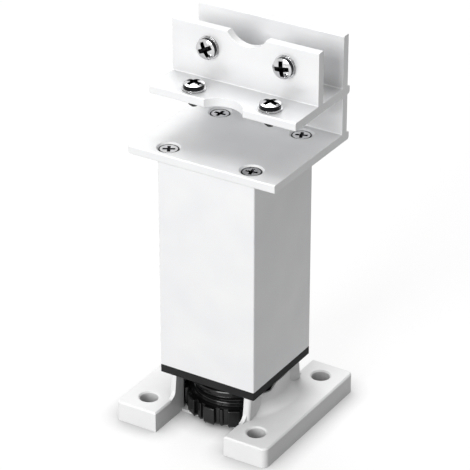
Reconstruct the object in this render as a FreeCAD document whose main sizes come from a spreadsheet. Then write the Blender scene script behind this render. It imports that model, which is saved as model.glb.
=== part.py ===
import FreeCAD, Part
import os
import Sketcher

# An adjustable decking pedestal: a slotted aluminium channel that takes the deck's joist, on a square
# aluminium post that climbs a coarse plastic screw, whose lobed hand knob stands in a two-railed base.
# Lengths are in millimetres. Z is up, X runs along the channel and -Y is the side of the open shelf.
# The origin is the middle of the base's underside, on the axis of the screw.

DRIVING_SIZES = [
    ("base_width", 81.0, "base, across both rails"),
    ("base_length", 80.0, "base, along the rails"),
    ("rail_gap", 36.5, "clear width between the rails"),
    ("rail_height", 10.0, "height of a rail"),
    ("rail_corner", 3.0, "radius of a rail's upright corners"),
    ("rail_edge", 0.7, "chamfer of a rail's upper edges"),
    ("bolt_pitch_across", 58.0, "fixing holes, centre to centre across the rails"),
    ("bolt_pitch_along", 58.0, "fixing holes, centre to centre along a rail"),
    ("bolt_hole", 8.6, "diameter of a fixing hole"),
    ("bolt_hole_edge", 0.7, "chamfer at the mouth of a fixing hole"),
    ("bridge_thickness", 1.2, "thin floor that joins the rails under the knob"),
    ("bridge_length", 36.0, "that floor, along the rails"),
    ("web_thickness", 3.4, "upright web on each rail"),
    ("web_top_length", 44.0, "web at its top, along the rail"),
    ("web_foot_length", 47.0, "web at its foot, along the rail"),
    ("web_corner", 1.4, "radius of the web's outer corners"),
    ("web_flare", 4.0, "radius at the foot of the web's ends"),
    ("web_gap", 0.5, "web's top to the collar above it"),
    ("cup_clearance", 0.5, "round cup between the webs to the knob's lobes, radial"),
    ("cup_wall", 0.9, "wall of that cup, where it bulges out of the webs"),
    ("cup_flare", 5.0, "radius at the foot of the cup"),
    ("dip_depth", 3.2, "dip in the front of each web's top"),
    ("dip_front", 16.7, "screw axis to the front end of the dip"),
    ("dip_back", 7.5, "screw axis to the back end of the dip's floor"),
    ("dip_corner", 1.5, "radius in the front corner of the dip"),
    ("foot_gap", 0.3, "knob's underside above the bridge"),
    ("knob_diameter", 47.6, "hand knob over its wide lobes"),
    ("knob_rib_diameter", 46.2, "hand knob over its narrow ribs"),
    ("knob_root_diameter", 44.0, "hand knob between lobes and ribs"),
    ("knob_height", 9.0, "height of the hand knob"),
    ("knob_lobe_width", 5.8, "width of a wide lobe"),
    ("knob_rib_width", 1.8, "width of a narrow rib"),
    ("knob_foot_chamfer", 1.2, "chamfer under the knob"),
    ("neck_diameter", 38.0, "plain neck above the knob"),
    ("neck_height", 2.0, "height of that neck"),
    ("stem_diameter", 40.4, "screw over its thread crests"),
    ("stem_length", 84.0, "threaded part of the screw"),
    ("stem_bore", 32.0, "hollow inside the screw"),
    ("thread_clearance", 0.08, "screw to the end plug's bore, radial"),
    ("post_side", 50.0, "square post, outside"),
    ("post_wall", 2.0, "wall of the post"),
    ("post_length", 106.0, "length of the post"),
    ("post_corner", 0.6, "radius of the post's outer corners"),
    ("post_level", 27.0, "post's lower end above the ground, wound fully down"),
    ("port_inset", 3.7, "screw port's centre from the post's outside faces"),
    ("port_radius", 3.6, "outer radius of a screw port"),
    ("port_bore", 5.1, "bore of a screw port"),
    ("collar_height", 4.0, "collar of the end plug, flush with the post"),
    ("plug_depth", 28.0, "part of the end plug inside the post"),
    ("plug_clearance", 0.1, "end plug to the post and its ports, each side"),
    ("section", 4.0, "thickness of every wall of the channel extrusion"),
    ("channel_length", 75.0, "cut length of the channel extrusion"),
    ("plate_front", 29.0, "screw axis to the front edge of the lower plate"),
    ("shelf_front", 11.8, "screw axis to the front edge of the shelf"),
    ("flange_front", 7.6, "screw axis back to the front of the flange"),
    ("wall_front", 29.3, "screw axis back to the front of the rear wall"),
    ("shelf_rise", 22.5, "top of the lower plate to the top of the shelf"),
    ("channel_depth", 25.2, "top of the shelf to the top of flange and wall"),
    ("tab_reach", 2.0, "how far plate and shelf stand out behind the wall"),
    ("tab_corner", 1.2, "radius of the tabs' corners"),
    ("lip_edge", 0.5, "radius of the extrusion's free edges"),
    ("root_fillet", 0.5, "fillet in the extrusion's inner corners"),
    ("pattern_shift", 1.0, "notches and clamp screws stand this far right of the middle"),
    ("notch_radius", 11.75, "radius of the half-round notches"),
    ("notch_depth", 5.6, "depth of the half-round notches"),
    ("clamp_pitch", 39.2, "clamp screws, centre to centre"),
    ("flange_screw_rise", 15.2, "top of the shelf to the flange screws"),
    ("shelf_screw_inset", 7.0, "shelf's front edge to the shelf screws"),
    ("clamp_shank", 6.0, "diameter of a clamp screw"),
    ("clamp_length", 8.0, "length of a clamp screw under its head"),
    ("clamp_head", 11.0, "diameter of a clamp screw's pan head"),
    ("clamp_head_height", 3.6, "height of a clamp screw's pan head"),
    ("clamp_head_rim", 1.2, "upright rim of that head"),
    ("clamp_head_flat", 6.8, "diameter of the flat on top of that head"),
    ("clamp_clearance", 0.05, "clamp screw to its tapped hole, radial"),
    ("plate_shank", 5.0, "diameter of a plate screw"),
    ("plate_length", 25.0, "length of a plate screw"),
    ("plate_head", 9.4, "diameter of a plate screw's countersunk head"),
    ("plate_head_rim", 0.2, "upright rim of that head"),
    ("plate_sink", 11.2, "diameter of a countersink in the lower plate"),
    ("plate_hole_clearance", 0.2, "plate screw to its hole in the plate, radial"),
    ("recess_length", 5.4, "cross recess, end to end"),
    ("recess_width", 1.5, "cross recess, width of a slot"),
    ("clamp_recess", 2.4, "depth of the cross recess in a clamp screw"),
    ("plate_recess", 1.6, "depth of the cross recess in a plate screw"),
    ("head_gap", 0.02, "screw head to its seat"),
]

LOBE_COUNT = 12

doc = FreeCAD.newDocument("DeckingPedestal")
sheet = doc.addObject("Spreadsheet::Sheet", "Sizes")
for row, (alias, value, note) in enumerate(DRIVING_SIZES, start=1):
    sheet.set(f"A{row}", note)
    sheet.set(f"B{row}", str(value))
    sheet.setAlias(f"B{row}", alias)
doc.recompute()


class Size:
    """A length, as its value and as the expression that works it out from the sheet."""

    def __init__(self, value, text):
        self.value = value
        self.text = text

    def combined(self, other, sign, value):
        return Size(value, f"({self.text} {sign} {other.text})")

    def __add__(self, other):
        other = as_size(other)
        return self.combined(other, "+", self.value + other.value)

    def __sub__(self, other):
        other = as_size(other)
        return self.combined(other, "-", self.value - other.value)

    def __mul__(self, other):
        other = as_size(other)
        return self.combined(other, "*", self.value * other.value)

    def __truediv__(self, other):
        other = as_size(other)
        return self.combined(other, "/", self.value / other.value)

    def __neg__(self):
        return Size(-self.value, f"(0 - {self.text})")

    def root(self):
        return Size(self.value ** 0.5, f"sqrt({self.text})")


def as_size(item):
    return item if isinstance(item, Size) else Size(float(item), str(item))


def size(alias):
    return Size(float(getattr(sheet, alias)), f"Sizes.{alias}")


ZERO = as_size(0)

# Levels and radii that several pieces share.
rail_gap_half = size("rail_gap") / 2
knob_radius = size("knob_diameter") / 2
stem_radius = size("stem_diameter") / 2
cup_radius = knob_radius + size("cup_clearance")
collar_level = size("post_level") - size("collar_height")
web_level = collar_level - size("web_gap")
knob_level = size("bridge_thickness") + size("foot_gap")
post_half = size("post_side") / 2
port_place = post_half - size("port_inset")
post_top = size("post_level") + size("post_length")
shelf_top = size("section") + size("shelf_rise")
shelf_under = shelf_top - size("section")
channel_top = shelf_top + size("channel_depth")
clamp_half = size("clamp_pitch") / 2
plate_head_radius = size("plate_head") / 2
plate_head_sunk = size("plate_sink") / 2 - plate_head_radius - size("plate_head_rim") - size("head_gap")


def new_body(label):
    body = doc.addObject("PartDesign::Body", label)
    body.Label = label
    return body


def new_sketch(body, name, plane, offset=None):
    """A sketch on one of the body's own planes: XY, XZ (its normal is -Y) or YZ."""
    sketch = body.newObject("Sketcher::SketchObject", name)
    face = next(item for item in body.Origin.OriginFeatures if item.Role == f"{plane}_Plane")
    sketch.AttachmentSupport = [(face, "")]
    sketch.MapMode = "FlatFace"
    if offset is not None:
        sketch.setExpression("AttachmentOffset.Base.z", offset.text)
    return sketch


def hold(sketch, kind, places, target):
    """Adds a dimension to the sketch and ties it to the sheet."""
    number = sketch.addConstraint(Sketcher.Constraint(kind, *places, target.value))
    sketch.setExpression(f"Constraints[{number}]", target.text)


def hold_point(sketch, geometry, end, across, up):
    hold(sketch, "DistanceX", (-1, 1, geometry, end), across)
    hold(sketch, "DistanceY", (-1, 1, geometry, end), up)


def arc_between(start, finish, radius, turn):
    """The shorter arc from start to finish; turn is 1 when it bends left and -1 when it bends right."""
    chord = finish - start
    rise = (radius * radius - chord.Length * chord.Length / 4) ** 0.5
    normal = FreeCAD.Vector(-chord.y, chord.x, 0).normalize() * turn
    middle = start + chord / 2
    centre = middle + normal * rise
    crown = centre - normal * radius
    return Part.Arc(start, crown, finish)


def add_outline(sketch, corners):
    """A closed outline. A corner is (across, up), or (across, up, radius, turn) if an arc leaves it."""
    spots = [FreeCAD.Vector(corner[0].value, corner[1].value, 0) for corner in corners]
    ends = []
    for index, corner in enumerate(corners):
        start = spots[index]
        finish = spots[(index + 1) % len(spots)]
        if len(corner) == 2:
            ends.append((sketch.addGeometry(Part.LineSegment(start, finish), False), 1, 2))
            continue
        radius, turn = corner[2], corner[3]
        edge = sketch.addGeometry(arc_between(start, finish, radius.value, turn), False)
        ends.append((edge, 1, 2) if turn > 0 else (edge, 2, 1))
    for index, (edge, start_end, _) in enumerate(ends):
        before, _, before_end = ends[index - 1]
        sketch.addConstraint(Sketcher.Constraint("Coincident", before, before_end, edge, start_end))
    for corner, (edge, start_end, _) in zip(corners, ends):
        hold_point(sketch, edge, start_end, corner[0], corner[1])
        if len(corner) == 4:
            hold(sketch, "Radius", (edge,), corner[2])


def add_rectangle(sketch, left, low, right, high):
    add_outline(sketch, [(left, low), (right, low), (right, high), (left, high)])


def add_circle(sketch, across, up, radius):
    spot = FreeCAD.Vector(across.value, up.value, 0)
    ring = sketch.addGeometry(Part.Circle(spot, FreeCAD.Vector(0, 0, 1), radius.value), False)
    hold_point(sketch, ring, 3, across, up)
    hold(sketch, "Radius", (ring,), radius)


def pad(body, sketch, length, symmetric=False):
    feature = body.newObject("PartDesign::Pad", f"{sketch.Name}Pad")
    feature.Profile = sketch
    feature.SideType = "Symmetric" if symmetric else "One side"
    feature.setExpression("Length", length.text)
    body.Tip = feature
    return feature


def pocket(body, sketch, length, symmetric=False, upward=False):
    """Cuts against the sketch's normal, or along it if upward, or both ways if symmetric."""
    feature = body.newObject("PartDesign::Pocket", f"{sketch.Name}Pocket")
    feature.Profile = sketch
    feature.SideType = "Symmetric" if symmetric else "One side"
    feature.Reversed = upward
    feature.setExpression("Length", length.text)
    body.Tip = feature
    return feature


def revolve(body, sketch):
    """Turns the sketch's outline once around its upright axis."""
    feature = body.newObject("PartDesign::Revolution", f"{sketch.Name}Turn")
    feature.Profile = sketch
    feature.ReferenceAxis = (sketch, ["V_Axis"])
    feature.Angle = 360
    body.Tip = feature
    return feature


def polar(body, feature, count):
    """Repeats a feature around the body's upright axis."""
    pattern = body.newObject("PartDesign::PolarPattern", f"{feature.Name}Ring")
    pattern.Originals = [feature]
    pattern.Axis = (next(item for item in body.Origin.OriginFeatures if item.Role == "Z_Axis"), [""])
    pattern.Angle = 360
    pattern.Occurrences = count
    body.Tip = pattern
    return pattern


def soften(body, name, kind, amount, chosen):
    """Fillets or chamfers the edges for which chosen(edge) holds."""
    doc.recompute()
    base = body.Tip
    edges = [f"Edge{n}" for n, edge in enumerate(base.Shape.Edges, start=1) if chosen(edge)]
    feature = body.newObject(f"PartDesign::{kind}", name)
    feature.Base = (base, edges)
    feature.setExpression("Radius" if kind == "Fillet" else "Size", amount.text)
    body.Tip = feature
    return feature


def near(one, other):
    return abs(one - other) < 1e-4


def is_upright(edge):
    box = edge.BoundBox
    return box.XLength < 1e-4 and box.YLength < 1e-4


def lies_at(edge, level):
    box = edge.BoundBox
    return near(box.ZMin, level) and near(box.ZMax, level)


def place(body, across, along, up, axis=None, angle=0):
    """Sets the body's place from the sheet, after turning it about one axis."""
    if axis is not None:
        body.Placement = FreeCAD.Placement(FreeCAD.Vector(), FreeCAD.Rotation(axis, angle))
    body.setExpression("Placement.Base.x", across.text)
    body.setExpression("Placement.Base.y", along.text)
    body.setExpression("Placement.Base.z", up.text)


def base_rails(body):
    half_width = size("base_width") / 2
    half_length = size("base_length") / 2
    sketch = new_sketch(body, "Rails", "XY")
    add_rectangle(sketch, rail_gap_half, -half_length, half_width, half_length)
    add_rectangle(sketch, -half_width, -half_length, -rail_gap_half, half_length)
    pad(body, sketch, size("rail_height"))
    inner = rail_gap_half.value
    top = size("rail_height").value

    def is_inner(edge):
        return near(abs(edge.BoundBox.XMin), inner) and near(abs(edge.BoundBox.XMax), inner)

    soften(body, "RailCorners", "Fillet", size("rail_corner"),
           lambda edge: is_upright(edge) and not is_inner(edge))
    soften(body, "RailEdges", "Chamfer", size("rail_edge"), lambda edge: lies_at(edge, top))


def base_webs(body):
    """An upright web on each rail, flush with its inner face, with sloping ends that flare at the foot."""
    thick = size("web_thickness")
    outer = rail_gap_half + thick
    rail = size("rail_height")
    foot = size("web_foot_length") / 2
    top = size("web_top_length") / 2
    for side, start in (("Right", rail_gap_half), ("Left", -outer)):
        sketch = new_sketch(body, f"{side}Web", "YZ", start)
        add_outline(sketch, [
            (-foot, ZERO), (foot, ZERO), (foot, rail), (top, web_level), (-top, web_level),
            (-foot, rail)])
        pad(body, sketch, thick)

    def is_outer_corner(edge):
        box = edge.BoundBox
        return near(abs(box.XMin), outer.value) and near(box.XLength, 0) and near(box.ZMax, web_level.value)

    soften(body, "WebCorners", "Fillet", size("web_corner"),
           lambda edge: is_outer_corner(edge) and near(edge.BoundBox.ZMin, rail.value))

    flare = size("web_flare")
    inside = foot - flare
    meets = foot - (foot - top) * flare / (web_level - rail)
    width = thick - size("web_corner")
    for side, start in (("Right", rail_gap_half), ("Left", -rail_gap_half - width)):
        sketch = new_sketch(body, f"{side}BackFoot", "YZ", start)
        add_outline(sketch, [
            (inside, rail), (meets + flare, rail, flare, -1), (meets, rail + flare), (inside, rail + flare)])
        pad(body, sketch, width)
        sketch = new_sketch(body, f"{side}FrontFoot", "YZ", start)
        add_outline(sketch, [
            (-inside, rail), (-inside, rail + flare), (-meets, rail + flare, flare, -1),
            (-meets - flare, rail)])
        pad(body, sketch, width)


def base_cup(body):
    """The round cup that the knob stands in bulges through both webs, and each web's top dips in front."""
    outer = cup_radius + size("cup_wall")
    flare = size("cup_flare")
    rail = size("rail_height")
    sketch = new_sketch(body, "Cup", "XZ")
    add_outline(sketch, [
        (ZERO, ZERO), (outer + flare, ZERO), (outer + flare, rail, flare, -1),
        (outer, rail + flare), (outer, web_level), (ZERO, web_level)])
    revolve(body, sketch)

    channel = new_sketch(body, "Channel", "XY")
    add_rectangle(channel, -rail_gap_half, -size("base_length"), rail_gap_half, size("base_length"))
    pocket(body, channel, web_level, upward=True)

    bridge = new_sketch(body, "Bridge", "XY")
    bridge_half = size("bridge_length") / 2
    reach = rail_gap_half + size("rail_corner")
    add_rectangle(bridge, -reach, -bridge_half, reach, bridge_half)
    pad(body, bridge, size("bridge_thickness"))

    mouth = new_sketch(body, "Mouth", "XY", size("bridge_thickness"))
    add_circle(mouth, ZERO, ZERO, cup_radius)
    pocket(body, mouth, web_level, upward=True)

    dip = new_sketch(body, "Dip", "YZ")
    front = size("dip_front")
    back = size("dip_back")
    corner = size("dip_corner")
    floor = web_level - size("dip_depth")
    above = web_level + size("web_gap")
    add_outline(dip, [
        (above - floor - back, above), (-front, above), (-front, floor + corner, corner, 1),
        (-front + corner, floor), (-back, floor)])
    pocket(body, dip, size("base_width"), symmetric=True)


def base_bolt_holes(body):
    across = size("bolt_pitch_across") / 2
    along = size("bolt_pitch_along") / 2
    sketch = new_sketch(body, "BoltHoles", "XY")
    for side in (-1, 1):
        for end in (-1, 1):
            add_circle(sketch, across * side, along * end, size("bolt_hole") / 2)
    pocket(body, sketch, size("rail_height"), upward=True)
    top = size("rail_height").value
    radius = size("bolt_hole").value / 2

    def is_mouth(edge):
        is_ring = edge.Curve.TypeId == "Part::GeomCircle" and near(edge.Curve.Radius, radius)
        return is_ring and lies_at(edge, top)

    soften(body, "BoltHoleEdges", "Chamfer", size("bolt_hole_edge"), is_mouth)


def make_base():
    body = new_body("base")
    base_rails(body)
    base_webs(body)
    base_cup(body)
    base_bolt_holes(body)
    return body


def knob_teeth(body, name, width, reach, count, angle):
    """Flat-faced teeth around the knob, as a ring of pads that starts at the given angle."""
    sketch = new_sketch(body, name, "XY", knob_level)
    inner = size("knob_root_diameter") / 2 - size("knob_foot_chamfer")
    add_rectangle(sketch, inner, -width / 2, reach, width / 2)
    sketch.AttachmentOffset = FreeCAD.Placement(
        sketch.AttachmentOffset.Base, FreeCAD.Rotation(FreeCAD.Vector(0, 0, 1), angle))
    sketch.setExpression("AttachmentOffset.Base.z", knob_level.text)
    polar(body, pad(body, sketch, size("knob_height")), count)


def make_adjusting_screw():
    """Hollow stem with a coarse thread, turned by the lobed knob that it stands on."""
    body = new_body("adjusting_screw")
    root = size("knob_root_diameter") / 2
    chamfer = size("knob_foot_chamfer")
    neck = size("neck_diameter") / 2
    bore = size("stem_bore") / 2
    shoulder = knob_level + size("knob_height")
    thread_start = shoulder + size("neck_height")
    top = thread_start + size("stem_length")
    sketch = new_sketch(body, "Stem", "XZ")
    add_outline(sketch, [
        (ZERO, knob_level), (root - chamfer, knob_level), (root, knob_level + chamfer),
        (root, shoulder), (neck, shoulder), (neck, thread_start), (stem_radius, thread_start),
        (stem_radius, top), (bore, top), (bore, thread_start), (ZERO, thread_start)])
    revolve(body, sketch)
    lobe_reach = (knob_radius * knob_radius - size("knob_lobe_width") * size("knob_lobe_width") / 4).root()
    knob_teeth(body, "Lobe", size("knob_lobe_width"), lobe_reach, LOBE_COUNT, 0)
    knob_teeth(body, "Rib", size("knob_rib_width"), size("knob_rib_diameter") / 2, LOBE_COUNT,
               180 / LOBE_COUNT)
    return body


def make_end_plug():
    """Nut of the screw: a collar flush with the post and a deep threaded body inside it."""
    body = new_body("end_plug")
    collar = new_sketch(body, "Collar", "XY", collar_level)
    add_rectangle(collar, -post_half, -post_half, post_half, post_half)
    pad(body, collar, size("collar_height"))
    soften(body, "CollarCorners", "Fillet", size("post_corner"), is_upright)

    core = new_sketch(body, "Core", "XY", size("post_level"))
    half = post_half - size("post_wall") - size("plug_clearance")
    add_rectangle(core, -half, -half, half, half)
    pad(body, core, size("plug_depth"))

    ports = new_sketch(body, "PortRelief", "XY", size("post_level"))
    for side in (-1, 1):
        for end in (-1, 1):
            add_circle(ports, port_place * side, port_place * end,
                       size("port_radius") + size("plug_clearance"))
    pocket(body, ports, size("plug_depth"), upward=True)

    bore = new_sketch(body, "ThreadBore", "XY", collar_level)
    add_circle(bore, ZERO, ZERO, stem_radius + size("thread_clearance"))
    pocket(body, bore, size("collar_height") + size("plug_depth"), upward=True)
    return body


def make_post_tube():
    """Square extrusion with a round screw port in each inner corner."""
    body = new_body("post_tube")
    outside = new_sketch(body, "Outside", "XY", size("post_level"))
    add_rectangle(outside, -post_half, -post_half, post_half, post_half)
    pad(body, outside, size("post_length"))
    soften(body, "PostCorners", "Fillet", size("post_corner"), is_upright)

    inside = new_sketch(body, "Inside", "XY", size("post_level"))
    half = post_half - size("post_wall")
    add_rectangle(inside, -half, -half, half, half)
    pocket(body, inside, size("post_length"), upward=True)

    ports = new_sketch(body, "Ports", "XY", size("post_level"))
    bores = new_sketch(body, "PortBores", "XY", size("post_level"))
    for side in (-1, 1):
        for end in (-1, 1):
            add_circle(ports, port_place * side, port_place * end, size("port_radius"))
            add_circle(bores, port_place * side, port_place * end, size("port_bore") / 2)
    pad(body, ports, size("post_length"))
    pocket(body, bores, size("post_length"), upward=True)
    return body


def channel_profile(body):
    """The extrusion's section: plate, rear wall, shelf with its flange, and two tabs behind the wall."""
    section = size("section")
    plate = -size("plate_front")
    shelf = -size("shelf_front")
    flange = size("flange_front")
    flange_back = flange + section
    wall = size("wall_front")
    wall_back = wall + section
    tab = wall_back + size("tab_reach")
    sketch = new_sketch(body, "Section", "YZ")
    add_outline(sketch, [
        (plate, ZERO), (tab, ZERO), (tab, section), (wall_back, section), (wall_back, shelf_under),
        (tab, shelf_under), (tab, shelf_top), (wall_back, shelf_top), (wall_back, channel_top),
        (wall, channel_top), (wall, shelf_top), (flange_back, shelf_top), (flange_back, channel_top),
        (flange, channel_top), (flange, shelf_top), (shelf, shelf_top), (shelf, shelf_under),
        (wall, shelf_under), (wall, section), (plate, section)])
    pad(body, sketch, size("channel_length"), symmetric=True)

    def runs_along(edge, spots):
        box = edge.BoundBox
        if box.YLength > 1e-4 or box.ZLength > 1e-4:
            return False
        return any(near(box.YMin, y.value) and near(box.ZMin, z.value) for y, z in spots)

    tabs = [(tab, ZERO), (tab, section), (tab, shelf_under), (tab, shelf_top)]
    soften(body, "TabCorners", "Fillet", size("tab_corner"), lambda edge: runs_along(edge, tabs))
    lips = [(plate, ZERO), (plate, section), (shelf, shelf_under), (shelf, shelf_top),
            (flange, channel_top), (flange_back, channel_top), (wall, channel_top),
            (wall_back, channel_top)]
    soften(body, "LipEdges", "Fillet", size("lip_edge"), lambda edge: runs_along(edge, lips))
    roots = [(wall, section), (wall, shelf_under), (wall, shelf_top), (flange_back, shelf_top),
             (flange, shelf_top)]
    soften(body, "RootFillets", "Fillet", size("root_fillet"), lambda edge: runs_along(edge, roots))


def channel_notches(body):
    """Half-round notches in the flange's top edge and in the shelf's front edge."""
    set_back = size("notch_radius") - size("notch_depth")
    flange_notch = new_sketch(body, "FlangeNotch", "XZ", -size("flange_front") + size("section") / 2)
    add_circle(flange_notch, size("pattern_shift"), channel_top + set_back, size("notch_radius"))
    pocket(body, flange_notch, size("section") * 2)
    shelf_notch = new_sketch(body, "ShelfNotch", "XY", shelf_top + size("section") / 2)
    add_circle(shelf_notch, size("pattern_shift"), -size("shelf_front") - set_back, size("notch_radius"))
    pocket(body, shelf_notch, size("section") * 2)


def channel_screw_holes(body):
    """Tapped holes for the clamp screws and countersunk holes for the screws into the post."""
    tapped = size("clamp_shank") / 2 + size("clamp_clearance")
    flange_holes = new_sketch(body, "FlangeHoles", "XZ", -size("flange_front") + size("section") / 2)
    shelf_holes = new_sketch(body, "ShelfHoles", "XY", shelf_top + size("section") / 2)
    for side in (-1, 1):
        across = size("pattern_shift") + clamp_half * side
        add_circle(flange_holes, across, shelf_top + size("flange_screw_rise"), tapped)
        add_circle(shelf_holes, across, size("shelf_screw_inset") - size("shelf_front"), tapped)
    pocket(body, flange_holes, size("section") * 2)
    pocket(body, shelf_holes, size("section") * 2)

    plate_holes = new_sketch(body, "PlateHoles", "XY", size("section"))
    bore = size("plate_shank") / 2 + size("plate_hole_clearance")
    for side in (-1, 1):
        for end in (-1, 1):
            add_circle(plate_holes, port_place * side, port_place * end, bore)
    doc.recompute()
    holes = body.newObject("PartDesign::Hole", "PlateHolesSunk")
    holes.Profile = plate_holes
    holes.DepthType = "Dimension"
    holes.DrillPoint = "Flat"
    holes.setExpression("Diameter", (bore * 2).text)
    holes.setExpression("Depth", size("section").text)
    holes.HoleCutType = "Countersink"
    holes.HoleCutCustomValues = True
    holes.setExpression("HoleCutDiameter", size("plate_sink").text)
    holes.HoleCutCountersinkAngle = 90
    body.Tip = holes


def make_top_channel():
    body = new_body("top_channel")
    channel_profile(body)
    channel_notches(body)
    channel_screw_holes(body)
    place(body, ZERO, ZERO, post_top)
    return body


def cut_cross_recess(body, top, depth):
    """Cross recess in a screw's head, sunk from the head's top."""
    half_length = size("recess_length") / 2
    half_width = size("recess_width") / 2
    sketch = new_sketch(body, f"{body.Name}Recess", "XY", top)
    add_outline(sketch, [
        (half_width, half_width), (half_width, half_length), (-half_width, half_length),
        (-half_width, half_width), (-half_length, half_width), (-half_length, -half_width),
        (-half_width, -half_width), (-half_width, -half_length), (half_width, -half_length),
        (half_width, -half_width), (half_length, -half_width), (half_length, half_width)])
    pocket(body, sketch, depth)


def make_clamp_screw(label):
    """Pan-head screw, with its seat at the body's own origin and its shank pointing down."""
    body = new_body(label)
    shank = size("clamp_shank") / 2
    head = size("clamp_head") / 2
    tall = size("clamp_head_height")
    sketch = new_sketch(body, f"{label}Profile", "XZ")
    add_outline(sketch, [
        (ZERO, -size("clamp_length")), (shank, -size("clamp_length")), (shank, size("head_gap")),
        (head, size("head_gap")), (head, size("clamp_head_rim")), (size("clamp_head_flat") / 2, tall),
        (ZERO, tall)])
    revolve(body, sketch)
    cut_cross_recess(body, tall, size("clamp_recess"))
    return body


def make_plate_screw(label):
    """Countersunk screw, with its head's flat top at the body's own origin."""
    body = new_body(label)
    shank = size("plate_shank") / 2
    head = plate_head_radius
    rim = size("plate_head_rim")
    under_head = rim + head - shank
    sketch = new_sketch(body, f"{label}Profile", "XZ")
    add_outline(sketch, [
        (ZERO, -size("plate_length")), (shank, -size("plate_length")), (shank, -under_head),
        (head, -rim), (head, ZERO), (ZERO, ZERO)])
    revolve(body, sketch)
    cut_cross_recess(body, ZERO, size("plate_recess"))
    return body


def make_screws():
    """Four clamp screws in the flange and the shelf, and four that hold the channel on the post."""
    screws = []
    for side, side_name in ((-1, "left"), (1, "right")):
        across = size("pattern_shift") + clamp_half * side
        flange_screw = make_clamp_screw(f"flange_screw_{side_name}")
        place(flange_screw, across, size("flange_front"), post_top + shelf_top + size("flange_screw_rise"),
              FreeCAD.Vector(1, 0, 0), 90)
        shelf_screw = make_clamp_screw(f"shelf_screw_{side_name}")
        place(shelf_screw, across, size("shelf_screw_inset") - size("shelf_front"), post_top + shelf_top)
        screws += [flange_screw, shelf_screw]
        for end, end_name in ((-1, "front"), (1, "back")):
            screw = make_plate_screw(f"plate_screw_{end_name}_{side_name}")
            place(screw, port_place * side, port_place * end,
                  post_top + size("section") - plate_head_sunk)
            screws.append(screw)
    return screws


pieces = [make_base(), make_adjusting_screw(), make_end_plug(), make_post_tube(), make_top_channel()]
pieces += make_screws()
doc.recompute()

for item in doc.Objects:
    if "Invalid" in item.State or "Error" in item.State:
        raise RuntimeError(f"{item.Label} did not rebuild: {item.State}")
for piece in pieces:
    shape = piece.Shape
    if shape.isNull() or not shape.isValid() or len(shape.Solids) != 1:
        raise RuntimeError(f"{piece.Label} is not one valid solid")

os.makedirs("parts", exist_ok=True)
for piece in pieces:
    piece.Shape.exportStep(os.path.join("parts", f"{piece.Label}.step"))
    print(f"{piece.Label}: {piece.Shape.Volume / 1000:.2f} cubic centimetres")
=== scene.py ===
import math

import bmesh
import bpy
from mathutils import Matrix, Vector


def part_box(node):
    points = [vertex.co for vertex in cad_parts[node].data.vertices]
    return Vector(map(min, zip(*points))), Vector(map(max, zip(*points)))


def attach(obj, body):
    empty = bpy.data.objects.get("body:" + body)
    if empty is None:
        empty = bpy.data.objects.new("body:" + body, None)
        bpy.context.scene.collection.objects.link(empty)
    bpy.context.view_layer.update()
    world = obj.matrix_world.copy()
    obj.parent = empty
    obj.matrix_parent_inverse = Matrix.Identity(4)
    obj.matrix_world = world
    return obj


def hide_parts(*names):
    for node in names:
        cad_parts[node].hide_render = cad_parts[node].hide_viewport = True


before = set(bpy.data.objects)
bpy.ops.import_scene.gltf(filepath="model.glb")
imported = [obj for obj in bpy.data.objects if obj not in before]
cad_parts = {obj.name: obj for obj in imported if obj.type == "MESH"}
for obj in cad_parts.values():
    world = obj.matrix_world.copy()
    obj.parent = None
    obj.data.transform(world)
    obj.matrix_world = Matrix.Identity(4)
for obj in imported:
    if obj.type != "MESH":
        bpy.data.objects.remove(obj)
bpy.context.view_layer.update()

# Lengths are in metres and given angles in degrees, in the frame of the CAD model: Z up, the
# channel along X, its open shelf at -Y.

MM = 0.001
UP = Vector((0, 0, 1))
FORWARD = Vector((0, -1, 0))
WHITE = (1, 1, 1, 1)


# Finishes. Each has its own grain, roughness and small changes of colour, and some paint shade
# into their hollows. The scales of lines, clouds, grain and marks are for each metre.

NOISE_LOW = 0.3
NOISE_HIGH = 0.7
BEVEL_SAMPLES = 6
# Samples of the ambient occlusion that paints shade into hollows.
PAINTED_SHADE_SAMPLES = 8

LINES_ACROSS = 900
LINES_ALONG = 6
LINE_DETAIL = 3
LINE_ROUGHNESS = 0.6
EXTRUSION_CLOUDS = 45
POST_METALLIC = 0.1
CHANNEL_METALLIC = 0.28
SAWN_METALLIC = 0.15
SAWN_ROUGHNESS = 0.5
SAWN_NORMAL = 0.9
# The painted shade in the channel's hollows reaches this far.
CHANNEL_PAINTED_SHADE_REACH = 12 * MM
PLASTIC_GRAIN = 2600
PLASTIC_CLOUDS = 60
# The painted shade in the white plastic's hollows reaches this far.
PLASTIC_PAINTED_SHADE_REACH = 20 * MM
STEEL_MARKS = 900
STEEL_CLOUDS = 300


def calculate(tree, operation, *values):
    """The result of a maths node on sockets and plain numbers."""
    node = tree.nodes.new("ShaderNodeMath")
    node.operation = operation
    for socket, value in zip(node.inputs, values):
        if isinstance(value, bpy.types.NodeSocket):
            tree.links.new(value, socket)
        else:
            socket.default_value = value
    return node.outputs[0]


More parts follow.
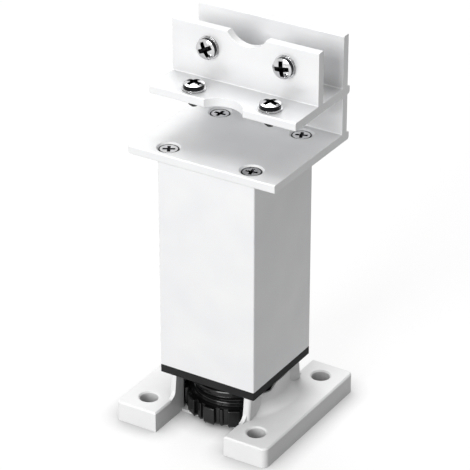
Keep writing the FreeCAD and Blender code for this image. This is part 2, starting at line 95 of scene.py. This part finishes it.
class Nodes:
    """A material's node tree, with short calls for the nodes that the finishes use."""

    def __init__(self, name):
        self.material = bpy.data.materials.new(name)
        self.material.use_nodes = True
        self.tree = self.material.node_tree
        self.shader = self.tree.nodes["Principled BSDF"]
        self.place = self.add("ShaderNodeTexCoord").outputs["Object"]

    def add(self, kind, **inputs):
        """A new node; an underscore stands for a space in the name of an input."""
        node = self.tree.nodes.new(kind)
        for name, value in inputs.items():
            node.inputs[name.replace("_", " ")].default_value = value
        return node

    def link(self, output, socket):
        self.tree.links.new(output, socket)

    def noise(self, scale, detail, place=None, roughness=0.5):
        """Noise over the object, or over other coordinates."""
        noise = self.add("ShaderNodeTexNoise", Scale=scale, Detail=detail, Roughness=roughness)
        self.link(place or self.place, noise.inputs["Vector"])
        return noise.outputs["Fac"]

    def drawn_lines(self, scales):
        """Noise drawn out into lines by its scales along the three axes."""
        mapping = self.add("ShaderNodeMapping", Scale=scales)
        self.link(self.place, mapping.inputs["Vector"])
        return self.noise(1.0, LINE_DETAIL, mapping.outputs["Vector"], LINE_ROUGHNESS)

    def sawn_ends(self):
        """1 on faces square to the X axis and 0 on the others."""
        parts = self.add("ShaderNodeSeparateXYZ")
        self.link(self.add("ShaderNodeTexCoord").outputs["Normal"], parts.inputs["Vector"])
        size = calculate(self.tree, "ABSOLUTE", parts.outputs["X"])
        return calculate(self.tree, "GREATER_THAN", size, SAWN_NORMAL)

    def spread(self, value, low, high, start=0.0, end=1.0):
        """A value between start and end, spread from low to high."""
        node = self.add("ShaderNodeMapRange", From_Min=start, From_Max=end, To_Min=low, To_Max=high)
        self.link(value, node.inputs["Value"])
        return node.outputs["Result"]

    def spread_noise(self, noise, low, high):
        """The usual range of a noise, spread from low to high."""
        return self.spread(noise, low, high, NOISE_LOW, NOISE_HIGH)

    def tint(self, noise, dark, light):
        """Makes the colour go between a dark and a light one."""
        ramp = self.add("ShaderNodeValToRGB")
        first, last = ramp.color_ramp.elements
        first.position = NOISE_LOW
        first.color = (*dark, 1)
        last.position = NOISE_HIGH
        last.color = (*light, 1)
        self.link(noise, ramp.inputs["Fac"])
        self.link(ramp.outputs["Color"], self.shader.inputs["Base Color"])

    def paint_hollow_shade(self, reach, painted_shade_share):
        """Paints shade into the colour in the piece's own hollows and inner corners, from its ambient
        occlusion, down to a share of it.
        """
        colour = self.shader.inputs["Base Color"].links[0].from_socket
        near = self.add("ShaderNodeAmbientOcclusion", Distance=reach)
        near.samples = PAINTED_SHADE_SAMPLES
        near.only_local = True
        shade = self.add("ShaderNodeVectorMath")
        shade.operation = "SCALE"
        self.link(colour, shade.inputs[0])
        self.link(self.spread(near.outputs["AO"], painted_shade_share, 1.0), shade.inputs["Scale"])
        self.link(shade.outputs[0], self.shader.inputs["Base Color"])

    def roughen(self, noise, low, high):
        """Makes the roughness go between two values."""
        self.link(self.spread_noise(noise, low, high), self.shader.inputs["Roughness"])

    def relieve(self, noise, depth, edge_radius):
        """Adds fine relief over edges that are eased by a small radius."""
        bump = self.add("ShaderNodeBump", Strength=1.0, Distance=depth)
        self.link(noise, bump.inputs["Height"])
        bevel = self.add("ShaderNodeBevel", Radius=edge_radius)
        bevel.samples = BEVEL_SAMPLES
        self.link(bevel.outputs["Normal"], bump.inputs["Normal"])
        self.link(bump.outputs["Normal"], self.shader.inputs["Normal"])


def anodised_post():
    """Satin extrusion, with faint drawn lines up its sides."""
    nodes = Nodes("anodised_post")
    lines = nodes.drawn_lines((LINES_ACROSS, LINES_ACROSS, LINES_ALONG))
    clouds = nodes.noise(EXTRUSION_CLOUDS, detail=2)
    nodes.tint(clouds, dark=(0.82, 0.825, 0.835), light=(0.87, 0.872, 0.878))
    nodes.shader.inputs["Metallic"].default_value = POST_METALLIC
    nodes.roughen(lines, low=0.37, high=0.47)
    nodes.relieve(lines, depth=0.002 * MM, edge_radius=0.25 * MM)
    return nodes.material


def anodised_channel():
    """Brighter satin extrusion, with faint drawn lines along X, dull ends and painted shade in its
    hollows.
    """
    nodes = Nodes("anodised_channel")
    lines = nodes.drawn_lines((LINES_ALONG, LINES_ACROSS, LINES_ACROSS))
    clouds = nodes.noise(EXTRUSION_CLOUDS, detail=2)
    ends = nodes.sawn_ends()
    nodes.tint(clouds, dark=(0.82, 0.824, 0.832), light=(0.86, 0.862, 0.867))
    nodes.link(nodes.spread(ends, CHANNEL_METALLIC, SAWN_METALLIC), nodes.shader.inputs["Metallic"])
    satin = nodes.spread_noise(lines, low=0.3, high=0.38)
    dull = calculate(nodes.tree, "MAXIMUM", satin, nodes.spread(ends, 0.0, SAWN_ROUGHNESS))
    nodes.link(dull, nodes.shader.inputs["Roughness"])
    nodes.relieve(lines, depth=0.0012 * MM, edge_radius=0.2 * MM)
    nodes.paint_hollow_shade(CHANNEL_PAINTED_SHADE_REACH, painted_shade_share=0.55)
    return nodes.material


def moulded_plastic(name, dark, light, specular, roughness, grain_depth, edge_radius, painted_shade_share=None):
    """Moulded plastic with a fine spark-eroded grain and faint clouds in its colour.

    The last argument is the share of the colour that the painted shade leaves deep in its hollows, or
    None for no painted shade."""
    nodes = Nodes(name)
    nodes.shader.inputs["Specular IOR Level"].default_value = specular
    grain = nodes.noise(PLASTIC_GRAIN, detail=2)
    clouds = nodes.noise(PLASTIC_CLOUDS, detail=3)
    nodes.tint(clouds, dark, light)
    nodes.roughen(clouds, *roughness)
    nodes.relieve(grain, grain_depth, edge_radius)
    if painted_shade_share is not None:
        nodes.paint_hollow_shade(PLASTIC_PAINTED_SHADE_REACH, painted_shade_share)
    return nodes.material


def turned_steel(name, dark, light, roughness):
    """Turned steel with faint marks and clouds."""
    nodes = Nodes(name)
    nodes.shader.inputs["Metallic"].default_value = 1.0
    marks = nodes.noise(STEEL_MARKS, detail=2)
    clouds = nodes.noise(STEEL_CLOUDS, detail=2)
    nodes.tint(clouds, dark, light)
    nodes.roughen(clouds, *roughness)
    nodes.relieve(marks, depth=0.001 * MM, edge_radius=0.08 * MM)
    return nodes.material


post_finish = anodised_post()
channel_finish = anodised_channel()
# The white plastic has painted shade in its hollows and inner corners.
white_plastic = moulded_plastic(
    "white_plastic", dark=(0.84, 0.84, 0.845), light=(0.88, 0.88, 0.88), specular=0.5,
    roughness=(0.36, 0.48), grain_depth=0.006 * MM, edge_radius=0.35 * MM, painted_shade_share=0.38)
black_plastic = moulded_plastic(
    "black_plastic", dark=(0.004, 0.004, 0.0045), light=(0.008, 0.008, 0.0085), specular=0.35,
    roughness=(0.09, 0.21), grain_depth=0.002 * MM, edge_radius=0.08 * MM)
plug_plastic = moulded_plastic(
    "plug_plastic", dark=(0.024, 0.024, 0.025), light=(0.032, 0.032, 0.033), specular=0.03,
    roughness=(0.34, 0.46), grain_depth=0.006 * MM, edge_radius=0.2 * MM)
steel = turned_steel(
    "polished_steel", dark=(0.58, 0.58, 0.59), light=(0.70, 0.70, 0.71), roughness=(0.08, 0.16))
# Near-black steel that paints shade and dark reflections into recesses, rims and shanks.
shade_painted_steel = turned_steel(
    "steel_with_painted_shade", dark=(0.008, 0.008, 0.009), light=(0.025, 0.025, 0.027), roughness=(0.24, 0.32))


# Meshes: turned surfaces and threads.

MERGE_DISTANCE = 1e-7
PLAIN_CREASE = 35


def mark_creases(bm, crease):
    """Smooth faces, with sharp edges where the surface folds by more than the angle."""
    sharp = math.radians(crease)
    for face in bm.faces:
        face.smooth = True
    for edge in bm.edges:
        edge.smooth = len(edge.link_faces) == 2 and edge.calc_face_angle(0.0) < sharp


def finish_mesh(name, bm, crease=PLAIN_CREASE):
    """Closes a bmesh where its parts meet and makes an object of it."""
    bmesh.ops.remove_doubles(bm, verts=bm.verts, dist=MERGE_DISTANCE)
    bmesh.ops.recalc_face_normals(bm, faces=bm.faces)
    mark_creases(bm, crease)
    mesh = bpy.data.meshes.new(name)
    bm.to_mesh(mesh)
    bm.free()
    piece = bpy.data.objects.new(name, mesh)
    bpy.context.scene.collection.objects.link(piece)
    return piece


def ring(bm, radius, z, count):
    """Vertices of one level circle, or one vertex repeated where the radius is zero."""
    if radius == 0:
        return [bm.verts.new((0, 0, z))] * count
    step = 2 * math.pi / count
    return [bm.verts.new((radius * math.cos(i * step), radius * math.sin(i * step), z))
            for i in range(count)]


def join_rings(bm, rings):
    """Faces between each closed ring and the next."""
    for lower, upper in zip(rings, rings[1:]):
        for i in range(len(lower)):
            after = (i + 1) % len(lower)
            corners = []
            for vertex in (lower[i], lower[after], upper[after], upper[i]):
                if vertex not in corners:
                    corners.append(vertex)
            bm.faces.new(corners)


def lathe(bm, profile, count):
    """A turned surface for a list of (radius, z)."""
    join_rings(bm, [ring(bm, radius, z, count) for radius, z in profile])


def add_thread(bm, form, root, crest, pitch, low, high, run_out, count):
    """A right-hand thread between two levels, as a skin that ends in a level circle at each end.

    form lists (share of the pitch, share of the depth) over one pitch. run_out says how steeply
    the thread may rise from its root at its lower end and at its upper end."""
    step = 2 * math.pi / count
    rows = len(form)
    turns = math.ceil((high - low) / pitch) + 2
    columns = []
    for j in range(count):
        column = []
        for k in range(turns * rows + 1):
            share, height = form[k % rows]
            z = low + pitch * (k // rows - 1 + share + j / count)
            z = min(max(z, low), high)
            limit = min((z - low) * run_out[0], (high - z) * run_out[1])
            radius = root + min((crest - root) * height, limit)
            angle = j * step
            column.append(bm.verts.new((radius * math.cos(angle), radius * math.sin(angle), z)))
        columns.append(column)
    for j in range(count):
        here = columns[j]
        after = columns[(j + 1) % count]
        shift = rows if j == count - 1 else 0
        for k in range(len(here) - 1 - shift):
            bm.faces.new((here[k], after[k + shift], after[k + 1 + shift], here[k + 1]))


# The adjusting screw: lobed knob, neck, hollow stem and coarse thread. Heights are above the knob's
# underside, which is the bottom of the CAD node's box.

KNOB_LOBES = 12
KNOB_ROOT = 22.0 * MM
LOBE_REACH = 23.62 * MM
LOBE_HALF_WIDTH = 2.9 * MM
RIB_REACH = 23.05 * MM
RIB_HALF_WIDTH = 0.95 * MM
KNOB_CORNER = 0.35 * MM
KNOB_CREASE = 22

STEM_FOOT = 11.0 * MM
STEM_ROOT = 18.6 * MM
STEM_CREST = 20.15 * MM
STEM_PITCH = 4.0 * MM
STEM_BORE = 16.0 * MM
STEM_BORE_FLOOR = 11.0 * MM
STEM_BORE_EDGE = 0.4 * MM
STEM_RUN_OUT = (0.9, 1.1)

# (radius, height) of the dished underside, and of the top with the neck that stands on it.
KNOB_UNDERSIDE = [(0, 0.8 * MM), (15.84 * MM, 0.8 * MM), (16.72 * MM, 0), (20.4 * MM, 0)]
KNOB_TOP_AND_NECK = [(20.8 * MM, 9.0 * MM), (19.7 * MM, 9.0 * MM), (19.3 * MM, 9.15 * MM),
                     (19.2 * MM, 9.5 * MM), (19.2 * MM, 10.6 * MM), (19.05 * MM, 10.9 * MM),
                     (STEM_ROOT, STEM_FOOT)]

# (distance inside the outline, height) of the rim, with its eased foot and upper edge.
KNOB_RIM = [(1.0 * MM, 0), (0.35 * MM, 0.65 * MM), (0, 1.3 * MM), (0, 8.5 * MM),
            (0.15 * MM, 8.85 * MM), (0.5 * MM, 9.0 * MM)]

# One pitch of the moulded thread: flat root, steep flanks and a flat crest that is bevelled on top.
MOULDED_THREAD = [(0.00, 0.00), (0.22, 0.00), (0.26, 0.08), (0.34, 0.92), (0.38, 1.00), (0.56, 1.00),
                  (0.66, 0.84), (0.70, 0.68), (0.77, 0.10), (0.82, 0.00)]


def knob_outline():
    """The knob seen from above, in order round the circle: sixteen points for each lobe and rib."""
    root_seat = KNOB_ROOT * math.cos(math.asin(LOBE_HALF_WIDTH / KNOB_ROOT))
    rib_seat = KNOB_ROOT * math.cos(math.asin(RIB_HALF_WIDTH / KNOB_ROOT))
    corner = KNOB_CORNER
    eased = corner * (1 - math.sqrt(0.5))
    lobe = [(LOBE_REACH, LOBE_HALF_WIDTH - corner), (LOBE_REACH - eased, LOBE_HALF_WIDTH - eased),
            (LOBE_REACH - corner, LOBE_HALF_WIDTH), (root_seat, LOBE_HALF_WIDTH)]
    rib = [(rib_seat, -RIB_HALF_WIDTH), (RIB_REACH - corner, -RIB_HALF_WIDTH),
           (RIB_REACH, -RIB_HALF_WIDTH + corner), (RIB_REACH, RIB_HALF_WIDTH - corner),
           (RIB_REACH - corner, RIB_HALF_WIDTH), (rib_seat, RIB_HALF_WIDTH)]
    sector = 2 * math.pi / KNOB_LOBES
    points = []
    for i in range(KNOB_LOBES):
        centre = sector * i
        root_angle = (math.atan2(LOBE_HALF_WIDTH, root_seat) + sector / 2
                      - math.atan2(RIB_HALF_WIDTH, rib_seat)) / 2
        stretch = [(Vector(point), centre) for point in lobe]
        stretch.append((Vector((KNOB_ROOT, 0)), centre + root_angle))
        stretch += [(Vector(point), centre + sector / 2) for point in rib]
        stretch.append((Vector((KNOB_ROOT, 0)), centre + sector - root_angle))
        stretch += [(Vector((x, -y)), centre + sector) for x, y in reversed(lobe)]
        points += [Matrix.Rotation(angle, 2) @ point for point, angle in stretch]
    return points


def inset(points, distance):
    """A closed outline moved inwards, each point along its own normal."""
    moved = []
    for i, point in enumerate(points):
        before = (point - points[i - 1]).normalized()
        after = (points[(i + 1) % len(points)] - point).normalized()
        along = (before + after).normalized()
        moved.append(point - Vector((along.y, -along.x)) * distance)
    return moved


def make_adjusting_screw():
    low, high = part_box("adjusting_screw")
    outline = knob_outline()
    count = len(outline)
    bm = bmesh.new()
    rings = [ring(bm, radius, low.z + z, count) for radius, z in KNOB_UNDERSIDE]
    for distance, z in KNOB_RIM:
        points = inset(outline, distance)
        rings.append([bm.verts.new((point.x, point.y, low.z + z)) for point in points])
    rings += [ring(bm, radius, low.z + z, count) for radius, z in KNOB_TOP_AND_NECK]
    join_rings(bm, rings)
    add_thread(bm, MOULDED_THREAD, STEM_ROOT, STEM_CREST, STEM_PITCH, low.z + STEM_FOOT, high.z,
               STEM_RUN_OUT, count)
    floor = low.z + STEM_BORE_FLOOR
    edge = STEM_BORE_EDGE
    lathe(bm, [(STEM_ROOT, high.z), (STEM_BORE + edge, high.z), (STEM_BORE, high.z - edge),
               (STEM_BORE, floor + edge), (STEM_BORE - edge, floor), (0, floor)], count)
    piece = finish_mesh("threaded_screw_and_knob", bm, KNOB_CREASE)
    piece.data.materials.append(black_plastic)
    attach(piece, "adjusting_screw")
    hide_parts("adjusting_screw")


# The fastening screws: turned heads with a tapered cross recess, and threaded shanks. They are made
# upright, with the seat of a pan head or the flat top of a countersunk head at the origin.

SCREW_SEGMENTS = 64
SCREW_CREASE = 30
SCREW_THREAD = [(0.00, 0.0), (0.12, 0.0), (0.45, 1.0), (0.58, 1.0), (0.91, 0.0)]
SCREW_THREAD_DEPTH = 0.55
SCREW_RUN_OUT = (0.8, 1.0)

PAN_LENGTH = 8.0 * MM
PAN_SHANK = 2.98 * MM
PAN_PITCH = 1.0 * MM
PAN_POINT = 0.9 * MM
PAN_FLANGE = 5.5 * MM
PAN_FLANGE_HEIGHT = 0.55 * MM
PAN_RADIUS = 4.8 * MM
PAN_SIDE = 2.8 * MM
PAN_HEIGHT = 3.8 * MM
PAN_EDGE = 0.14 * MM
PAN_DOME_STEPS = 14
PAN_WALL_NORMAL = 0.5
PAN_RECESS = 1.28
PAN_RECESS_SINK = 0.35 * MM

SUNK_LENGTH = 25.0 * MM
SUNK_SHANK = 2.48 * MM
SUNK_PITCH = 0.8 * MM
SUNK_POINT = 0.5 * MM
SUNK_NECK = 2.5 * MM
SUNK_RADIUS = 4.7 * MM
SUNK_CROWN = 4.0 * MM
SUNK_RIM = 0.2 * MM
SUNK_EDGE = 0.16 * MM
SUNK_RECESS = 0.95

RECESS_TOP_ARM = 3.0 * MM
RECESS_TOP_HALF = 0.8 * MM
RECESS_FLOOR_ARM = 1.7 * MM
RECESS_FLOOR_HALF = 0.45 * MM
RECESS_DEPTH = 2.0 * MM
RECESS_POINT = 0.5 * MM
RECESS_ABOVE = 0.6 * MM

# The bright crown has the first material slot. Recess, rims and shank have this one, a near-black
# steel that paints their shade and their dark reflections.
PAINTED_SHADE_SLOT = 1

FLANGE_TURNS = {"left": 28, "right": 8}
SHELF_TURNS = {"left": -10, "right": -14}
PLATE_TURNS = {"front_left": 30, "front_right": 10, "back_left": 0, "back_right": 20}


def add_shank(bm, radius, pitch, point, seat, length):
    """A threaded shank from its seat down to an eased end; gives the radius of the thread's root."""
    root = radius - SCREW_THREAD_DEPTH * pitch
    start = point - length
    add_thread(bm, SCREW_THREAD, root, radius, pitch, start, seat, SCREW_RUN_OUT, SCREW_SEGMENTS)
    lathe(bm, [(0, -length), (root - point, -length), (root, start)], SCREW_SEGMENTS)
    return root


def cross_ring(bm, arm, half, z):
    """Twelve corners of a cross."""
    corners = []
    for turn in range(4):
        angle = turn * math.pi / 2
        for x, y in ((arm, -half), (arm, half), (half, half)):
            corners.append(bm.verts.new((x * math.cos(angle) - y * math.sin(angle),
                                         x * math.sin(angle) + y * math.cos(angle), z)))
    return corners


def add_screw_finishes(piece):
    piece.data.materials.append(steel)
    piece.data.materials.append(shade_painted_steel)


def recess_cutter(head_top, scale):
    """The tapered driver tip that leaves the cross recess."""
    bm = bmesh.new()
    widen = RECESS_ABOVE / RECESS_DEPTH
    upper = cross_ring(bm, scale * (RECESS_TOP_ARM + (RECESS_TOP_ARM - RECESS_FLOOR_ARM) * widen),
                       scale * (RECESS_TOP_HALF + (RECESS_TOP_HALF - RECESS_FLOOR_HALF) * widen),
                       head_top + RECESS_ABOVE)
    floor = head_top - RECESS_DEPTH
    lower = cross_ring(bm, scale * RECESS_FLOOR_ARM, scale * RECESS_FLOOR_HALF, floor)
    point = ring(bm, 0, floor - RECESS_POINT, len(lower))
    bm.faces.new(upper)
    join_rings(bm, [lower, upper])
    join_rings(bm, [point, lower])
    # Painted shade: the walls of the recess take the near-black slot.
    for face in bm.faces:
        face.material_index = PAINTED_SHADE_SLOT
    cutter = finish_mesh("recess_cutter", bm)
    add_screw_finishes(cutter)
    return cutter


def cut_recess(piece, head_top, scale):
    """Cuts the recess into the head and gives the screw its finishes."""
    add_screw_finishes(piece)
    cutter = recess_cutter(head_top, scale)
    modifier = piece.modifiers.new("recess", "BOOLEAN")
    modifier.operation = "DIFFERENCE"
    modifier.solver = "EXACT"
    modifier.object = cutter
    bpy.context.view_layer.update()
    cut = piece.evaluated_get(bpy.context.evaluated_depsgraph_get())
    mesh = bpy.data.meshes.new_from_object(cut)
    piece.modifiers.clear()
    uncut_mesh = piece.data
    piece.data = mesh
    bpy.data.meshes.remove(uncut_mesh)
    cutter_mesh = cutter.data
    bpy.data.objects.remove(cutter)
    bpy.data.meshes.remove(cutter_mesh)
    bm = bmesh.new()
    bm.from_mesh(mesh)
    mark_creases(bm, SCREW_CREASE)
    bm.to_mesh(mesh)
    bm.free()


def pan_screw(name):
    """A pan-head screw: a flange ring, a wall and a domed top."""
    bm = bmesh.new()
    root = add_shank(bm, PAN_SHANK, PAN_PITCH, PAN_POINT, 0, PAN_LENGTH)
    ledge = PAN_FLANGE_HEIGHT
    edge = PAN_EDGE
    profile = [(root, 0), (PAN_FLANGE - edge, 0), (PAN_FLANGE, edge), (PAN_FLANGE, ledge - edge),
               (PAN_FLANGE - edge, ledge), (PAN_RADIUS + edge, ledge), (PAN_RADIUS, ledge + edge),
               (PAN_RADIUS, PAN_SIDE)]
    rise = PAN_HEIGHT - PAN_SIDE
    dome = (PAN_RADIUS ** 2 + rise ** 2) / (2 * rise)
    reach = math.asin(PAN_RADIUS / dome)
    for i in range(1, PAN_DOME_STEPS):
        lean = reach * (1 - i / PAN_DOME_STEPS)
        profile.append((dome * math.sin(lean), PAN_HEIGHT - dome * (1 - math.cos(lean))))
    profile.append((0, PAN_HEIGHT))
    lathe(bm, profile, SCREW_SEGMENTS)
    bm.normal_update()
    # Painted shade and dark reflection: the shank and the head's upright walls take the near-black
    # slot.
    for face in bm.faces:
        if face.calc_center_median().z < 0 or abs(face.normal.z) < PAN_WALL_NORMAL:
            face.material_index = PAINTED_SHADE_SLOT
    piece = finish_mesh(name, bm, SCREW_CREASE)
    cut_recess(piece, PAN_HEIGHT - PAN_RECESS_SINK, PAN_RECESS)
    return piece


def sunk_screw(name):
    """A countersunk screw with a flat crown."""
    bm = bmesh.new()
    depth = SUNK_RIM + SUNK_RADIUS - SUNK_NECK
    root = add_shank(bm, SUNK_SHANK, SUNK_PITCH, SUNK_POINT, -depth, SUNK_LENGTH)
    lathe(bm, [(root, -depth), (SUNK_RADIUS, -SUNK_RIM), (SUNK_RADIUS, -SUNK_EDGE),
               (SUNK_RADIUS - SUNK_EDGE, 0), (SUNK_CROWN, 0), (0, 0)], SCREW_SEGMENTS)
    # Painted shade: the shank, the head's underside and its rim outside the crown take the near-black
    # slot.
    for face in bm.faces:
        if face.calc_center_median().xy.length > SUNK_CROWN or face.calc_center_median().z < 0:
            face.material_index = PAINTED_SHADE_SLOT
    piece = finish_mesh(name, bm, SCREW_CREASE)
    cut_recess(piece, 0, SUNK_RECESS)
    return piece


def place_screw(piece, node, place, facing, turn):
    """Turns a screw about its own axis, points it, puts it in place and lets it replace its node."""
    spin = Matrix.Rotation(math.radians(turn), 4, "Z")
    point = UP.rotation_difference(facing).to_matrix().to_4x4()
    piece.data.transform(point @ spin)
    piece.data.transform(Matrix.Translation(place))
    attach(piece, "post")
    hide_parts(node)


def make_screws():
    for side in ("left", "right"):
        node = f"flange_screw_{side}"
        low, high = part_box(node)
        middle = (low + high) / 2
        place = Vector((middle.x, high.y - PAN_LENGTH, middle.z))
        place_screw(pan_screw(f"{node}_cross_head"), node, place, FORWARD, FLANGE_TURNS[side])
        node = f"shelf_screw_{side}"
        low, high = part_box(node)
        middle = (low + high) / 2
        place = Vector((middle.x, middle.y, low.z + PAN_LENGTH))
        place_screw(pan_screw(f"{node}_cross_head"), node, place, UP, SHELF_TURNS[side])
        for end in ("front", "back"):
            node = f"plate_screw_{end}_{side}"
            low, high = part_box(node)
            middle = (low + high) / 2
            place = Vector((middle.x, middle.y, high.z))
            turn = PLATE_TURNS[f"{end}_{side}"]
            place_screw(sunk_screw(f"{node}_cross_head"), node, place, UP, turn)


# Studio: a pale floor that stays white behind the object and keeps its shadow, a large soft lamp in
# front, a weaker one behind on the left, a faint one behind on the right, and a soft sky.

FLOOR_HALF = 6.0
FLOOR_GREY = 0.25
FLOOR_GLOW = 0.77
PAINTED_CONTACT_SHADE_REACH = 12 * MM
SKY_STRENGTH = 0.32
LAMP_SIDE = 1.0
LAMP_DISTANCE = 2.0
LAMP_AIM = Vector((0, 0, 0.08))

# The photograph's camera, solved from the square post, with a lens that is a little shorter, so that
# the whole object is in the frame.
CAMERA_TARGET = Vector((-0.0002, -0.0001, 0.0896))
CAMERA_AZIMUTH = 31.70
CAMERA_ELEVATION = 28.145
CAMERA_DISTANCE = 1.146
CAMERA_LENS = 194.8
CAMERA_SENSOR = 36
CAMERA_NEAR = 0.01
CAMERA_FAR = 50


def seen_rays(tree):
    """1 for camera, glossy and transmission rays and 0 for others."""
    path = tree.nodes.new("ShaderNodeLightPath")
    seen = calculate(tree, "MAXIMUM", path.outputs["Is Camera Ray"], path.outputs["Is Glossy Ray"])
    return calculate(tree, "MAXIMUM", seen, path.outputs["Is Transmission Ray"])


def make_floor():
    """A grey floor with a glow that only the camera and reflections see, dimmed close to the object
    as painted contact shade.
    """
    bm = bmesh.new()
    corners = [bm.verts.new((x * FLOOR_HALF, y * FLOOR_HALF, 0))
               for x, y in ((-1, -1), (1, -1), (1, 1), (-1, 1))]
    bm.faces.new(corners)
    floor = finish_mesh("studio_floor", bm)
    material = bpy.data.materials.new("studio_floor")
    material.use_nodes = True
    tree = material.node_tree
    shader = tree.nodes["Principled BSDF"]
    shader.inputs["Base Color"].default_value = (FLOOR_GREY, FLOOR_GREY, FLOOR_GREY, 1)
    shader.inputs["Roughness"].default_value = 1.0
    shader.inputs["Specular IOR Level"].default_value = 0.0
    shader.inputs["Emission Color"].default_value = WHITE
    # Painted contact shade: ambient occlusion dims the glow close to the object and inside its holes.
    near = tree.nodes.new("ShaderNodeAmbientOcclusion")
    near.inputs["Distance"].default_value = PAINTED_CONTACT_SHADE_REACH
    glow = calculate(tree, "MULTIPLY", seen_rays(tree), FLOOR_GLOW)
    glow = calculate(tree, "MULTIPLY", glow, near.outputs["AO"])
    tree.links.new(glow, shader.inputs["Emission Strength"])
    floor.data.materials.append(material)


def make_sky():
    """A soft sky that the camera and reflections see as white."""
    world = bpy.data.worlds.new("studio_sky")
    bpy.context.scene.world = world
    world.use_nodes = True
    tree = world.node_tree
    background = tree.nodes["Background"]
    background.inputs["Color"].default_value = WHITE
    strength = calculate(tree, "MULTIPLY_ADD", seen_rays(tree), 1.0 - SKY_STRENGTH, SKY_STRENGTH)
    tree.links.new(strength, background.inputs["Strength"])


def hold(name, data, aim, azimuth, elevation, distance):
    """A lamp or camera that looks at its aim; azimuth 0 is in front of the object and 90 at +X."""
    around = math.radians(azimuth)
    above = math.radians(elevation)
    outward = Vector((math.sin(around) * math.cos(above), -math.cos(around) * math.cos(above),
                      math.sin(above)))
    holder = bpy.data.objects.new(name, data)
    holder.location = aim + outward * distance
    holder.rotation_mode = "QUATERNION"
    holder.rotation_quaternion = (-outward).to_track_quat("-Z", "Y")
    bpy.context.scene.collection.objects.link(holder)
    return holder


def make_lamp(name, azimuth, elevation, watts):
    """A large soft square lamp."""
    lamp = bpy.data.lights.new(name, "AREA")
    lamp.size = LAMP_SIDE
    lamp.energy = watts
    hold(name, lamp, LAMP_AIM, azimuth, elevation, LAMP_DISTANCE)


def make_camera():
    camera = bpy.data.cameras.new("camera")
    camera.lens = CAMERA_LENS
    camera.sensor_width = CAMERA_SENSOR
    camera.clip_start = CAMERA_NEAR
    camera.clip_end = CAMERA_FAR
    bpy.context.scene.camera = hold("camera", camera, CAMERA_TARGET, CAMERA_AZIMUTH,
                                    CAMERA_ELEVATION, CAMERA_DISTANCE)


# The CAD nodes that stay get their finishes, and the detailed pieces take the place of the others.

finishes = {"base": white_plastic, "end_plug": plug_plastic, "post_tube": post_finish,
            "top_channel": channel_finish}
for node, finish in finishes.items():
    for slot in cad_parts[node].material_slots:
        slot.material = finish

make_adjusting_screw()
make_screws()
make_floor()
make_sky()
make_lamp("front_lamp", azimuth=-4, elevation=24, watts=33.5)
make_lamp("rear_lamp", azimuth=-138, elevation=56, watts=16)
make_lamp("right_lamp", azimuth=165, elevation=62, watts=5.5)
make_camera()
bpy.context.scene.view_settings.view_transform = "Standard"
